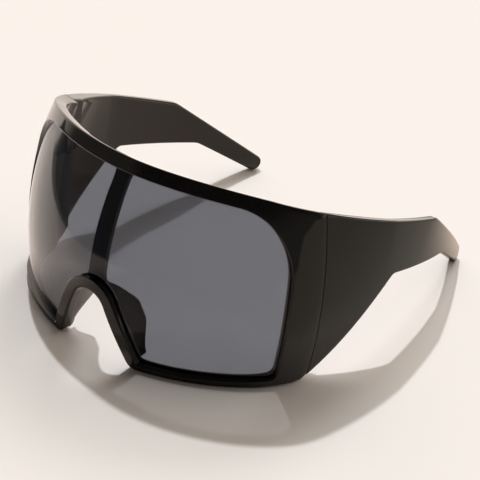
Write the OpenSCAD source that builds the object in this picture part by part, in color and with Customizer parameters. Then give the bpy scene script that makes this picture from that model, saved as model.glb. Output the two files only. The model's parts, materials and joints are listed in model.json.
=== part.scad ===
// Shield sunglasses: one wrapped lens in a moulded front, and two deep wedge temples on screw hinges.
// Lengths are in millimetres. The shapes are drawn as the glasses are worn: X to the wearer's left, Y to
// the back and Z up, with the middle of the front's outer face at the origin. The whole is then tipped
// onto the surface it rests on, standing on its lower rim and on both temple tips.

/* [Front] */
// Plan radius of the middle of the front
front_r = 86; // [75:1:100]
// Length along the front from its middle to where the tighter side curve starts
front_flat_l = 71; // [64:1:76]
// Plan radius of the sides of the front
side_r = 43; // [38:1:56]
// Length along the front from its middle to the hinge seam
half_l = 96.8; // [94:0.2:100]
// Radius of the upright bulge at the middle of the front
bulge_mid_r = 94; // [84:1:130]
// Radius of the upright bulge at the hinge seams
bulge_side_r = 163; // [140:1:220]
// Height of the top edge above the middle, at the middle of the front
top_h = 48.2; // [44:0.2:54]
// Height of the top edge above the middle, at the hinge seams
hinge_top_h = 40.3; // [38:0.2:44]
// Depth of the bottom edge below the middle, under the bridge
bottom_h = 35; // [33:0.2:40]
// Depth of the bottom edge below the middle, at the hinge seams
hinge_bottom_h = 28.7; // [27:0.1:32]
// Radius of the lower outer corners of the front
low_corner_r = 4; // [3:0.25:7]

/* [Rim] */
// Width of the rim over the lens
rim_top_w = 5.3; // [4.5:0.1:7]
// Width of the rim under the lens
rim_bottom_w = 2.8; // [2.5:0.1:4.5]
// Width of the plain side panels between the lens and the seams
rim_side_w = 14.5; // [13:0.1:18]
// Width of the rim around the nose notch
rim_nose_w = 5; // [4.8:0.1:6.5]
// Thickness of the rim over most of the front
rim_t = 5; // [4.8:0.1:6]
// Thickness of the side panels where they carry the hinges
end_t = 7.5; // [7:0.1:9]
// Radius of the upper corners of the lens opening
open_top_r = 27; // [20:0.5:30]
// Radius of the lower corners of the lens opening
open_low_r = 3.8; // [3:0.1:5.5]
// Radius of the corners of the lens opening beside the nose notch
open_nose_r = 1.5; // [1:0.1:2.5]
// Width of the bevel around the lens opening
bevel_w = 0.4; // [0.3:0.05:0.6]
// Rounding of the rim's edges
edge_r = 0.7; // [0.4:0.05:1]

/* [Nose] */
// Depth of the top of the nose notch below the middle of the front
nose_top_h = 5.7; // [4:0.1:8]
// Radius of the top of the nose notch
nose_r = 8.6; // [8:0.1:11]
// Lean of the notch's sides from upright, in degrees
nose_lean = 26.5; // [20:0.5:30]
// Rounding where the notch meets the bottom edge
nose_foot_r = 5; // [2.5:0.1:6]
// How far the bridge reaches back from the rim
bridge_depth = 4; // [3:0.25:6]
// How far the nose pads reach back from the rim
pad_depth = 11.6; // [10:0.1:15]
// How far the pads spread away from the nose at their back edge
pad_splay = 3.6; // [2:0.1:4.5]
// Thickness of the pads where they leave the rim
pad_root_t = 3; // [2.4:0.1:3.8]
// Thickness of the pads at their back edge
pad_edge_t = 1.8; // [1.4:0.1:2.4]
// Width of the upright bar behind the lens
bar_w = 8; // [6:0.1:10]
// Thickness of the upright bar
bar_t = 2.4; // [2:0.1:3.6]
// How much the bar widens on each side where it meets the rim
bar_flare = 2.4; // [1.5:0.1:3.5]

/* [Lens] */
// Thickness of the lens
lens_t = 1.4; // [1.2:0.05:1.6]
// Depth of the lens's outer face below the rim's outer face, at the middle of the front
lens_inset = 2.4; // [2:0.05:2.6]
// Depth of the lens's outer face below the rim's outer face, at the sides of the opening
lens_side_inset = 1.7; // [1.4:0.05:2.4]
// How far the lens's edge reaches into the groove in the rim
lens_bite = 1.2; // [0.9:0.05:1.4]
// Clearance around the lens in its groove
lens_gap = 0.05; // [0.03:0.01:0.08]

/* [Temples] */
// Length of a temple along its curve, from the seam to the upper corner of its tip
temple_l = 124; // [118:0.5:132]
// Plan radius of the temples, which curve in behind the head
temple_r = 211; // [180:1:260]
// Length from the seam to the bend over the ear, on the top edge
ear_bend_l = 73.9; // [68:0.1:80]
// Height of the top edge above the middle of the front, at the bend over the ear
ear_bend_h = 20.7; // [18:0.1:24]
// Height of the tip's upper corner above the middle of the front
tip_top_h = -11.4; // [-13:0.2:-7]
// Length from the tip's lower corner to its upper corner, along the temple
tip_cut_l = 4.3; // [3:0.1:6]
// Height of the tip between its upper and lower corners
tip_cut_h = 5.3; // [5:0.1:8]
// Length from the seam to the end of the steep part of the lower edge
wedge_l = 42.4; // [38:0.2:48]
// Height of the lower edge above the middle of the front, at the end of its steep part
wedge_h = 6; // [4:0.2:8]
// Length from the seam to the bend of the lower edge
low_bend_l = 87.8; // [84:0.2:92]
// Height of the lower edge above the middle of the front, at its bend
low_bend_h = 0.1; // [-1:0.1:2]
// Depth of the temple's lower corner at the seam, below the middle of the front
root_low_h = 27.4; // [25:0.2:29]
// Thickness of the temple where the hinge is fixed
root_t = 7.5; // [7:0.1:8.5]
// Thickness of the temple's end face at the seam
root_face_t = 6.4; // [5.6:0.1:7]
// Length of the thick root of the temple
root_l = 7.8; // [7.4:0.1:10]
// Thickness of the temple just behind its root
neck_t = 5.4; // [4.6:0.1:6]
// Thickness of the temple's blade
blade_t = 3.3; // [2.8:0.1:4]
// Length from the seam to where the blade is down to its thickness
blade_start_l = 34; // [28:0.5:44]
// Rounding of the tip's corners
tip_r = 2.4; // [1.5:0.1:2.8]
// Rounding of the temple's edges
temple_edge_r = 0.7; // [0.4:0.05:1]
// Gap between the front and a temple at the seam
seam_gap = 0.25; // [0.2:0.01:0.4]

/* [Hinges] */
// Height of the middle of the hinges above the middle of the front
hinge_h = 20; // [16:0.5:26]
// Length of a hinge along its screw
hinge_l = 8.4; // [7.5:0.1:10]
// Outer radius of the hinge knuckles
knuckle_r = 1.5; // [1.3:0.05:1.7]
// Gap between the knuckles along the screw
knuckle_gap = 0.1; // [0.05:0.01:0.2]
// Radius of the screw's shank
screw_r = 0.7; // [0.6:0.05:0.8]
// Running clearance between the screw and the temple's knuckle
running_gap = 0.05; // [0.03:0.01:0.08]
// Clearance between the screw and the front's knuckles, which hold it
held_gap = 0.02; // [0.01:0.01:0.03]
// Radius of the screw's head
screw_head_r = 1.2; // [1.1:0.05:1.4]
// Height of the screw's head
screw_head_h = 0.7; // [0.5:0.05:0.9]
// Length of a hinge leaf from the screw's axis
leaf_l = 7; // [6.4:0.1:7.4]
// Thickness of a hinge leaf
leaf_t = 1; // [0.8:0.05:1.1]
// Distance of the rivets from the screw's axis
rivet_l = 4.8; // [4.2:0.1:5.4]
// Distance between the two rivets of a leaf
rivet_pitch = 4.4; // [3.8:0.1:5.2]
// Radius of a rivet's shank
rivet_r = 0.6; // [0.5:0.05:0.7]
// Radius of a rivet's head
rivet_head_r = 1; // [0.9:0.05:1.1]
// Height of a rivet's head
rivet_head_h = 0.35; // [0.25:0.05:0.4]
// Length of a rivet's shank inside the moulding
rivet_bite = 3; // [2:0.1:3.4]

/* [Hidden] */
$fn = 48;
// Degrees in a radian
deg = 180 / PI;
// Distance by which a cutting shape overruns what it cuts
over = 1;
// Clearance of the temple's root and the mouldings from the turning knuckles
swing_gap = 0.3;
// Length of the temple behind the seam over which the upright bulge of the front dies away
bulge_fade_l = 0.4 * half_l;
// Width of the chamfered start of the temple's root, and of the step down behind the root
root_mitre_l = 0.4 * root_l;
root_step_l = 0.06 * root_l;
// Half the length over which the bends of the temple's edges are rounded
bend_soft_l = 0.015 * temple_l;
// How far the bridge and pads are let into the back of the rim
pad_root_in = 0.3 * rim_t;
// How far the bridge and pads stand in from the edge of the notch
pad_step = 0.08 * pad_root_t;
// Distance from the middle to the side edge of the lens opening, along the front
open_l = half_l - rim_side_w;
// Height of the middle of the circle that tops the nose notch
nose_mid_h = -nose_top_h - nose_r;
// Length of the bridge and pad wing on one side, along the notch's edge
arc_l = nose_r * (90 - nose_lean) / deg;
pad_l = arc_l + (bottom_h - 0.4 * rim_bottom_w + nose_mid_h + nose_r * sin(nose_lean)) / cos(nose_lean);

// Direction of the plan curve at length a from the middle, in degrees from X
function heading(a) = deg * (min(a, front_flat_l) / front_r
    + max(0, min(a, half_l) - front_flat_l) / side_r + max(0, a - half_l) / temple_r);
// Point reached from p on an arc of radius r and length l that starts in direction h
function arc_on(p, h, r, l) = p + r * [sin(h + deg * l / r) - sin(h), cos(h) - cos(h + deg * l / r)];
// Point of the plan curve at length a from the middle
function plan(a) =
    let (p1 = arc_on([0, 0], 0, front_r, min(a, front_flat_l)),
        p2 = arc_on(p1, heading(front_flat_l), side_r, max(0, min(a, half_l) - front_flat_l)))
    arc_on(p2, heading(half_l), temple_r, max(0, a - half_l));
// Curvature of the upright bulge at length a from the middle
function bulge(a) = a > half_l ? max(0, 1 - (a - half_l) / bulge_fade_l) / bulge_side_r
    : 1 / bulge_mid_r + (1 / bulge_side_r - 1 / bulge_mid_r) * pow(a / half_l, 2);
// Point at length a to the side, height z and depth d below the curved outer face
function wrap(a, z, d) =
    let (u = abs(a), h = heading(u), p = plan(u), lean = bulge(u) * z, m = d / sqrt(1 + lean * lean),
        q = lean * z / 2 + m, side = a < 0 ? -1 : 1)
    [side * (p[0] - q * sin(h)), p[1] + q * cos(h), z - m * lean];

// Heights of the front's top and bottom edges, and the slope of each, at length a from the middle
function top_z(a) = top_h - (top_h - hinge_top_h) * pow(a / half_l, 3);
function top_slope(a) = -3 * (top_h - hinge_top_h) * pow(a / half_l, 2) / half_l;
function bottom_z(a) = -bottom_h + (bottom_h - hinge_bottom_h) * pow(a / half_l, 2);
function bottom_slope(a) = 2 * (bottom_h - hinge_bottom_h) * a / (half_l * half_l);
// Thickness of the front at length a from the middle: it grows over the side panels
function front_t(a) = rim_t + (end_t - rim_t) * pow(max(0, a - open_l + rim_side_w) / (2 * rim_side_w), 2);
// Depth of the lens's outer face at length a from the middle
function inset(a) = lens_inset + (lens_side_inset - lens_inset) * pow(a / open_l, 2);

function unit(v) = v / norm(v);
function left_of(v) = [-v[1], v[0]];
// The n + 1 points of the arc of radius r that rounds corner c between directions v (in) and w (out)
function rounded(c, v, w, r, n) =
    let (a = unit(v), b = unit(w), turn = a[0] * b[1] - a[1] * b[0] > 0 ? 1 : -1,
        angle = acos(a * b), mid = c - r * tan(angle / 2) * a + turn * r * left_of(a))
    [for (i = [0:n]) let (t = turn * angle * i / n,
        d = [a[0] * cos(t) - a[1] * sin(t), a[0] * sin(t) + a[1] * cos(t)]) mid - turn * r * left_of(d)];
// The points strictly between p and q, in n steps
function between(p, q, n) = [for (i = [1:n - 1]) p + (q - p) * i / n];
// The right half of a symmetric loop, then its mirror image
function mirrored(half) = concat(half, [for (i = [len(half) - 2:-1:1]) [-half[i][0], half[i][1]]]);

// Points per stretch of the outline; the stretches up to the side and those over it have as many points
steps_arch = 7;
steps_leg = 4;
steps_foot = 5;
steps_bottom = 14;
steps_corner = 5;
steps_side = 7;
steps_upper = 15;
steps_top = steps_arch + steps_leg + steps_foot + steps_bottom + steps_corner - steps_upper;

// Length along the front where a side of the notch, offset by w, meets the bottom edge lifted by w2
function foot_a(w, w2, a = 0, tries = 4) = tries == 0 ? a
    : foot_a(w, w2, (nose_r + w) * cos(nose_lean)
        + (nose_mid_h + (nose_r + w) * sin(nose_lean) - bottom_z(a) - w2) * tan(nose_lean), tries - 1);
// Notch and bottom edge of one half, from the top of the notch to the end of the lower outer corner
function lower_path(w, w2, side_a, foot_r, corner_r) =
    let (foot = foot_a(w, w2), leg = [sin(nose_lean), -cos(nose_lean)],
        arch = [for (i = [0:steps_arch]) let (t = 90 - (90 - nose_lean) * i / steps_arch)
            [0, nose_mid_h] + (nose_r + w) * [cos(t), sin(t)]],
        turn = rounded([foot, bottom_z(foot) + w2], leg, [1, bottom_slope(foot)], foot_r, steps_foot),
        corner = rounded([side_a, bottom_z(side_a) + w2], [1, bottom_slope(side_a)], [0, 1],
            corner_r, steps_corner),
        run = between(turn[steps_foot][0], corner[0][0], steps_bottom))
    concat(arch, between(arch[steps_arch], turn[0], steps_leg), turn,
        [for (a = run) [a, bottom_z(a) + w2]], corner);

// Upper corner and top edge of the lens opening of one half
open_turn = 90 + atan(top_slope(open_l - open_top_r));
open_end_a = open_l - open_top_r * tan(open_turn / 2) * sin(open_turn);
open_slope = top_slope(open_end_a);
open_corner = rounded([open_l, top_z(open_end_a) - rim_top_w + open_slope * (open_l - open_end_a)],
    [0, 1], [-1, -open_slope], open_top_r, steps_upper);
open_low = lower_path(rim_nose_w, rim_bottom_w, open_l, open_nose_r, open_low_r);
open_high = concat(open_corner, [for (i = [steps_top - 1:-1:0]) let (a = open_end_a * i / steps_top)
    [a, top_z(a) - rim_top_w]]);
opening = mirrored(concat(open_low, between(open_low[len(open_low) - 1], open_high[0], steps_side),
    open_high));

// Outer edge of one half: notch, bottom and corner, then up the seam and back along the top
seam_steps = 6;
seam_turn_h = open_corner[0][1] + rim_top_w;
seam_rise = top_z(half_l) - seam_turn_h;
outer_end_a = open_end_a + rim_top_w;
outer_low = lower_path(0, 0, half_l, nose_foot_r, low_corner_r);
outer_high = concat([for (i = [0:seam_steps]) [half_l, seam_turn_h + seam_rise * i / seam_steps]],
    [for (i = [1:steps_upper - seam_steps])
        let (a = half_l + (outer_end_a - half_l) * i / (steps_upper - seam_steps)) [a, top_z(a)]],
    [for (i = [steps_top - 1:-1:0]) let (a = outer_end_a * i / steps_top) [a, top_z(a)]]);
outer = mirrored(concat(outer_low, between(outer_low[len(outer_low) - 1], outer_high[0], steps_side),
    outer_high));

// Section of the rim: distance from the opening, depth, and where that depth counts from: 0 is the
// outer face, 1 the back face and 2 the outer face of the lens
corner_share = 0.3;
function rim_section(w) = [
    [bevel_w, 0, 0], [bevel_w + (w - bevel_w) / 3, 0, 0], [bevel_w + (w - bevel_w) * 2 / 3, 0, 0],
    [w - edge_r, 0, 0], [w - corner_share * edge_r, corner_share * edge_r, 0], [w, edge_r, 0],
    [w, -edge_r, 1], [w - corner_share * edge_r, -corner_share * edge_r, 1], [w - edge_r, 0, 1],
    [bevel_w + (w - bevel_w) * 2 / 3, 0, 1], [bevel_w + (w - bevel_w) / 3, 0, 1],
    [edge_r, 0, 1], [0, -corner_share * edge_r, 1], [0, lens_t + lens_gap, 2],
    [lens_bite, lens_t + lens_gap, 2], [lens_bite, -lens_gap, 2], [0, -lens_gap, 2], [0, bevel_w, 0]];
rim_rings = [for (i = [0:len(opening) - 1])
    let (p = opening[i], w = norm(outer[i] - p), v = unit(outer[i] - p))
    [for (s = rim_section(w)) let (q = p + s[0] * v, from = s[2] == 1 ? front_t(abs(q[0])) : inset(q[0]))
        wrap(q[0], q[1], s[2] == 0 ? s[1] : s[1] + from)]];

// Columns of the lens from its lower edge to its upper edge, and the rows up each column
lens_rows = 8;
lens_reach = lens_bite - lens_gap;
function lens_edge(i) = opening[i] + lens_reach * unit(outer[i] - opening[i]);
lens_half = [for (i = [0:len(open_low) - 1])
    [lens_edge(i), lens_edge(len(open_low) + len(open_high) + steps_side - 2 - i)]];
lens_columns = concat([for (i = [len(lens_half) - 1:-1:1]) lens_half[i]],
    [for (c = lens_half) [for (p = c) [-p[0], p[1]]]]);
lens_rings = [for (c = lens_columns) concat(
    [for (j = [0:lens_rows]) let (q = c[0] + (c[1] - c[0]) * j / lens_rows) wrap(q[0], q[1], inset(q[0]))],
    [for (j = [lens_rows:-1:0]) let (q = c[0] + (c[1] - c[0]) * j / lens_rows)
        wrap(q[0], q[1], inset(q[0]) + lens_t)])];

// Upright bar: its half width at share s of its height, and its rings
bar_steps = 14;
bar_low_h = -nose_top_h + 0.3 * rim_nose_w;
bar_high_h = top_h - 0.5 * rim_top_w;
bar_flare_share = 0.12;
bar_front = inset(0) + lens_t + 2 * lens_gap;
function bar_half(s) = bar_w / 2 + bar_flare * pow(max(0, 1 - min(s, 1 - s) / bar_flare_share), 2);
bar_rings = [for (i = [0:bar_steps]) let (s = (1 - cos(180 * i / bar_steps)) / 2, b = bar_half(s),
    z = bar_low_h + (bar_high_h - bar_low_h) * s, back = bar_front + bar_t)
    [wrap(-b, z, bar_front), wrap(b, z, bar_front), wrap(b, z, back - edge_r),
        wrap(b - edge_r, z, back), wrap(edge_r - b, z, back), wrap(-b, z, back - edge_r)]];

// Bridge and nose pads: one wing along the notch's edge, whose depth grows from the bridge to the pads
// and falls again towards their lower ends
pad_steps = 22;
pad_rows = 5;
pad_rise_share = 0.45;
pad_fall_share = 0.64;
pad_low_share = 0.32;
function smooth(s) = let (t = max(0, min(1, s))) t * t * (3 - 2 * t);
function wing_depth(s) = pad_root_in
    + (bridge_depth + (pad_depth - bridge_depth) * smooth(s / pad_rise_share))
    * (1 - (1 - pad_low_share) * smooth((s - pad_fall_share) / (1 - pad_fall_share)));
// Point and outward direction of the notch's edge at length l from its top
function notch(l) =
    let (t = max(nose_lean, 90 - deg * l / nose_r), out = [cos(t), sin(t)], run = max(0, l - arc_l))
    [[0, nose_mid_h] + nose_r * out + run * [sin(nose_lean), -cos(nose_lean)], out];
pad_half = [for (i = [0:pad_steps]) let (s = i / pad_steps, n = notch(pad_l * s), depth = wing_depth(s),
        splay = pad_splay * smooth(s / pad_rise_share))
    concat([for (j = [0:pad_rows]) let (r = j / pad_rows)
            [n[0] + (pad_step + splay * r * r) * n[1], depth * r]],
        [for (j = [pad_rows:-1:0]) let (r = j / pad_rows,
            t = (pad_root_t + (pad_edge_t - pad_root_t) * r) * (j == pad_rows ? 0.5 : 1))
            [n[0] + (pad_step + splay * r * r + t) * n[1], depth * r]])];
function wing_ring(ring, side) =
    [for (p = ring) wrap(side * p[0][0], p[0][1], rim_t - pad_root_in + p[1])];
pad_rings = concat([for (i = [pad_steps:-1:1]) wing_ring(pad_half[i], -1)],
    [for (i = [0:pad_steps]) wing_ring(pad_half[i], 1)]);

// Height of a temple's upper and lower edges at length l from the seam: straight stretches, softly joined
function ramp(x) = x <= -bend_soft_l ? 0 : x >= bend_soft_l ? x
    : pow(x + bend_soft_l, 2) / (4 * bend_soft_l);
tip_low_l = temple_l - tip_cut_l;
tip_low_h = tip_top_h - tip_cut_h;
upper_slope = (ear_bend_h - hinge_top_h) / ear_bend_l;
upper_tip_slope = (tip_top_h - ear_bend_h) / (temple_l - ear_bend_l);
wedge_slope = (wedge_h + root_low_h) / wedge_l;
lower_slope = (low_bend_h - wedge_h) / (low_bend_l - wedge_l);
lower_tip_slope = (tip_low_h - low_bend_h) / (tip_low_l - low_bend_l);
function temple_top(l) = hinge_top_h + upper_slope * l
    + (upper_tip_slope - upper_slope) * ramp(l - ear_bend_l);
function temple_low(l) = -root_low_h + wedge_slope * l + (lower_slope - wedge_slope) * ramp(l - wedge_l)
    + (lower_tip_slope - lower_slope) * ramp(l - low_bend_l);
// Thickness of a temple at length l from the seam
function temple_t(l) = lookup(l, [[0, root_face_t], [root_mitre_l, root_t], [root_l - root_step_l, root_t],
    [root_l, neck_t], [blade_start_l, blade_t], [temple_l, blade_t]]);

// The hinge: its leaves lie flat on the inner faces, so the screw's axis stands off them by a knuckle
hinge_low_h = hinge_h - hinge_l / 2;
bed_depth = bulge(half_l) * pow(hinge_low_h, 2) / 2 + min(end_t, root_t);
axis_depth = bed_depth + knuckle_r;
hinge_a = half_l + seam_gap / 2;
hinge_turn = heading(half_l) - 90;
axis_at = plan(hinge_a) + axis_depth * [-sin(heading(half_l)), cos(heading(half_l))];
// Depth at which the temple's inner face stays outside the screw's axis, at height z near the seam
function swing_depth(l, z) = (axis_depth - swing_gap - bulge(half_l + l) * z * z / 2)
    * sqrt(1 + pow(bulge(half_l + l) * z, 2));

// Stations along a temple: its root, its blade, and the rounded corners of the cut tip
blade_steps = 26;
tip_steps = 9;
blade_end_l = tip_low_l - 3 * tip_r;
root_stations = [0, root_mitre_l / 2, root_mitre_l, root_l - root_step_l, root_l, 1.4 * root_l];
blade_stations = [for (i = [1:blade_steps]) 1.4 * root_l + (blade_end_l - 1.4 * root_l) * i / blade_steps];
tip_cut = [tip_cut_l, tip_cut_h];
tip_upper = rounded([temple_l, tip_top_h], [1, upper_tip_slope], -tip_cut, tip_r, tip_steps);
tip_lower = rounded([tip_low_l, tip_low_h], [1, lower_tip_slope], tip_cut, tip_r, tip_steps);
temple_columns = concat(
    [for (l = concat(root_stations, blade_stations)) [[l, temple_low(l)], [l, temple_top(l)]]],
    [for (i = [0:tip_steps]) [tip_lower[i], tip_upper[i]]]);
temple_rows = 6;
function temple_point(q, share) =
    let (t = min(temple_t(q[0]), swing_depth(q[0], q[1])), e = temple_edge_r)
    wrap(half_l + seam_gap + q[0], q[1], share[0] * t + share[1] * e);
temple_rings = [for (i = [len(temple_columns) - 1:-1:0])
    let (c = temple_columns[i], up = temple_edge_r * unit(c[1] - c[0]), low = c[0] + up,
        run = c[1] - up - low)
    concat([temple_point(c[0], [0, 1])],
        [for (j = [0:temple_rows]) temple_point(low + run * j / temple_rows, [0, 0])],
        [temple_point(c[1], [0, 1]), temple_point(c[1], [1, -1])],
        [for (j = [temple_rows:-1:0]) temple_point(low + run * j / temple_rows, [1, 0])],
        [temple_point(c[0], [1, -1])])];

// Lowest point of a set after it is tipped back by angle t, and the angle at which both sets touch down
function tipped(p, t) = [p[0], p[1] * cos(t) + p[2] * sin(t), p[2] * cos(t) - p[1] * sin(t)];
front_points = [for (r = rim_rings) each r];
temple_points = [for (r = temple_rings) each r];
function lowest(points, t) = let (h = [for (p = points) tipped(p, t)[2]], low = min(h))
    points[search(low, h)[0]];
function settle(t, tries) = tries == 0 ? t
    : let (f = lowest(front_points, t), b = lowest(temple_points, t))
    settle(atan((b[2] - f[2]) / (b[1] - f[1])), tries - 1);
rest_tip = settle(0, 4);
rest_points = [for (p = concat(front_points, temple_points)) tipped(p, rest_tip)];
rest_low = min([for (p = rest_points) p[2]]);
rest_mid = (min([for (p = rest_points) p[1]]) + max([for (p = rest_points) p[1]])) / 2;

// Two triangles for each four-sided patch between neighbouring rings, split along its shorter diagonal
function skin(rings, closed) =
    let (n = len(rings), m = len(rings[0]))
    [for (i = [0:closed ? n - 1 : n - 2], j = [0:m - 1])
        let (k = (i + 1) % n, l = (j + 1) % m, a = i * m + j, b = i * m + l, c = k * m + l, d = k * m + j)
        each norm(rings[i][j] - rings[k][l]) < norm(rings[i][l] - rings[k][j])
            ? [[a, c, b], [a, d, c]] : [[a, d, b], [b, d, c]]];
// The end of a sweep, as a strip between the two sides of its last ring
function cap(first, m, flip) = [for (j = [0:m / 2 - 2])
    let (a = first + j, b = first + j + 1, c = first + m - 2 - j, d = first + m - 1 - j)
    each flip ? [[a, c, b], [a, d, c]] : [[a, b, c], [a, c, d]]];
module sweep(rings, closed = false) {
    n = len(rings);
    m = len(rings[0]);
    ends = closed ? [] : concat(cap(0, m, false), cap((n - 1) * m, m, true));
    polyhedron([for (r = rings) each r], concat(skin(rings, closed), ends));
}

// From the worn position to the table
module set_down() {
    translate([0, -rest_mid, -rest_low]) rotate([-rest_tip, 0, 0]) children();
}
module on_right() {
    mirror([1, 0, 0]) children();
}
// The left hinge's own frame: X outwards, Y to the back, Z up its screw
module at_hinge() {
    translate([axis_at[0], axis_at[1], hinge_h]) rotate([0, 0, hinge_turn]) children();
}
module upright(r, low, high) {
    translate([0, 0, low]) cylinder(r = r, h = high - low);
}

knuckle_h = (hinge_l - 2 * knuckle_gap) / 3;
// Room cut in the mouldings for the knuckles and for the leaf on one side, with the rivets' holes
module hinge_room(side) {
    reach = hinge_l / 2 + swing_gap;
    at_hinge() {
        upright(knuckle_r + swing_gap, -reach, reach + screw_head_h);
        translate([knuckle_r - leaf_l, side > 0 ? 0 : -leaf_l - swing_gap, -reach])
            cube([leaf_l, leaf_l + swing_gap, 2 * reach]);
        rivet_places(side) upright(rivet_r + held_gap, -over, rivet_bite + leaf_t);
    }
}
// The two rivets of a leaf: Z runs outwards from the leaf's inner face
module rivet_places(side) {
    for (z = [-rivet_pitch / 2, rivet_pitch / 2])
        translate([knuckle_r - leaf_t, side * rivet_l, z]) rotate([0, 90, 0]) children();
}
// Knuckle k is the middle one at 0, the lower one at -1 and the upper one at 1
module at_knuckle(k) {
    translate([0, 0, k * (knuckle_h + knuckle_gap)]) children();
}
module leaf(side, knuckles, hole_r) {
    at_hinge() difference() {
        union() {
            difference() {
                translate([knuckle_r - leaf_t, side > 0 ? 0 : -leaf_l, -hinge_l / 2])
                    cube([leaf_t, leaf_l, hinge_l]);
                for (k = [-1:1]) if (len(search(k, knuckles)) == 0)
                    at_knuckle(k) cylinder(r = knuckle_r + knuckle_gap,
                        h = knuckle_h + 2 * knuckle_gap, center = true);
            }
            for (k = knuckles) at_knuckle(k) cylinder(r = knuckle_r, h = knuckle_h, center = true);
        }
        upright(hole_r, -hinge_l, hinge_l);
        rivet_places(side) upright(rivet_r + held_gap, -over, leaf_t + over);
    }
}
module front_leaf() {
    color("#303032") leaf(-1, [-1, 1], screw_r + held_gap);
}
module temple_leaf() {
    color("#303032") leaf(1, [0], screw_r + running_gap);
}
module hinge_screw() {
    color("#303032") at_hinge() difference() {
        union() {
            upright(screw_r, -hinge_l / 2, hinge_l / 2);
            upright(screw_head_r, hinge_l / 2, hinge_l / 2 + screw_head_h);
        }
        translate([-screw_head_r, -screw_r / 4, hinge_l / 2 + screw_head_h / 2])
            cube([2 * screw_head_r, screw_r / 2, screw_head_h]);
    }
}
module rivets(side) {
    color("#303032") at_hinge() rivet_places(side) {
        upright(rivet_r, -rivet_head_h, rivet_bite + leaf_t - held_gap);
        upright(rivet_head_r, -rivet_head_h, 0);
    }
}
module front_frame() {
    color("#1b1b1c") difference() {
        union() {
            sweep(rim_rings, true);
            sweep(bar_rings);
            sweep(pad_rings);
        }
        hinge_room(-1);
        on_right() hinge_room(-1);
    }
}
module shield_lens() {
    color("#6e6e70", 0.7) sweep(lens_rings);
}
module temple() {
    color("#1b1b1c") difference() {
        sweep(temple_rings);
        hinge_room(1);
    }
}

set_down() front_frame();
set_down() shield_lens();
set_down() temple();  // left_temple
set_down() on_right() temple();  // right_temple
set_down() front_leaf();  // left_front_leaf
set_down() on_right() front_leaf();  // right_front_leaf
set_down() temple_leaf();  // left_temple_leaf
set_down() on_right() temple_leaf();  // right_temple_leaf
set_down() hinge_screw();  // left_hinge_screw
set_down() on_right() hinge_screw();  // right_hinge_screw
set_down() rivets(-1);  // left_front_rivets
set_down() on_right() rivets(-1);  // right_front_rivets
set_down() rivets(1);  // left_temple_rivets
set_down() on_right() rivets(1);  // right_temple_rivets
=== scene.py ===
# Shield sunglasses: gloss mouldings, a tinted lens and hinge metal over the frame, on a plain stage
import json
from math import atan, atan2, cos, pi, radians, sin, sqrt, tan

import bmesh
import bpy
from mathutils import Matrix, Vector


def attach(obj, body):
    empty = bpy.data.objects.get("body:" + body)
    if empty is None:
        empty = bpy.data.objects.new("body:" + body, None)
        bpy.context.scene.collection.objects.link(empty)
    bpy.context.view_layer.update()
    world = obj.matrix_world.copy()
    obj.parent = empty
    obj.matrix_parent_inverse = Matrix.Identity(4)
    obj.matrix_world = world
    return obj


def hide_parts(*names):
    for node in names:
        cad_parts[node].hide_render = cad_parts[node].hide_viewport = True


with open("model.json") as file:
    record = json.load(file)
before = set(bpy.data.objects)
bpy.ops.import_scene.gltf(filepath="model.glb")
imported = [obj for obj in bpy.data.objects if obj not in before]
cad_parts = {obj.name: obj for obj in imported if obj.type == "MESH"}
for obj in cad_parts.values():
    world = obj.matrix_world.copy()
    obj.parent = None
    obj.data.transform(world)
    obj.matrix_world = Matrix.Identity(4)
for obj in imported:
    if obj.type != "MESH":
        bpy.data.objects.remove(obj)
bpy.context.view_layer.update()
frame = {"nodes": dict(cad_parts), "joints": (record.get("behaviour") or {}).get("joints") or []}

bl_info = {
    "name": "Shield sunglasses",
    "version": (1, 0, 0),
    "blender": (4, 5, 0),
    "location": "3D View > Sidebar > Sunglasses",
    "description": "Builds one-lens wrap sunglasses with folding wedge temples on a plain stage",
    "category": "Add Mesh",
}

MM = 0.001
# Points nearer than this many metres are merged, and edges that turn more than this angle stay hard
WELD = 2e-7
SHARP_ANGLE = radians(38.0)
# Room between the lens and each wall of its groove
GROOVE_GAP = 0.05 * MM


def length(name, text, size, low=0.0):
    """A length that the user can change, given in millimetres and kept in metres."""
    return bpy.props.FloatProperty(name=name, description=text, default=size * MM, min=low, max=1.0,
                                   precision=5, unit='LENGTH', subtype='DISTANCE')


def colour(name, text, value):
    return bpy.props.FloatVectorProperty(name=name, description=text, default=value, size=len(value),
                                         min=0.0, max=1.0, subtype='COLOR')


def number(name, text, value, high):
    return bpy.props.FloatProperty(name=name, description=text, default=value, min=0.0, max=high,
                                   precision=4)


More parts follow.
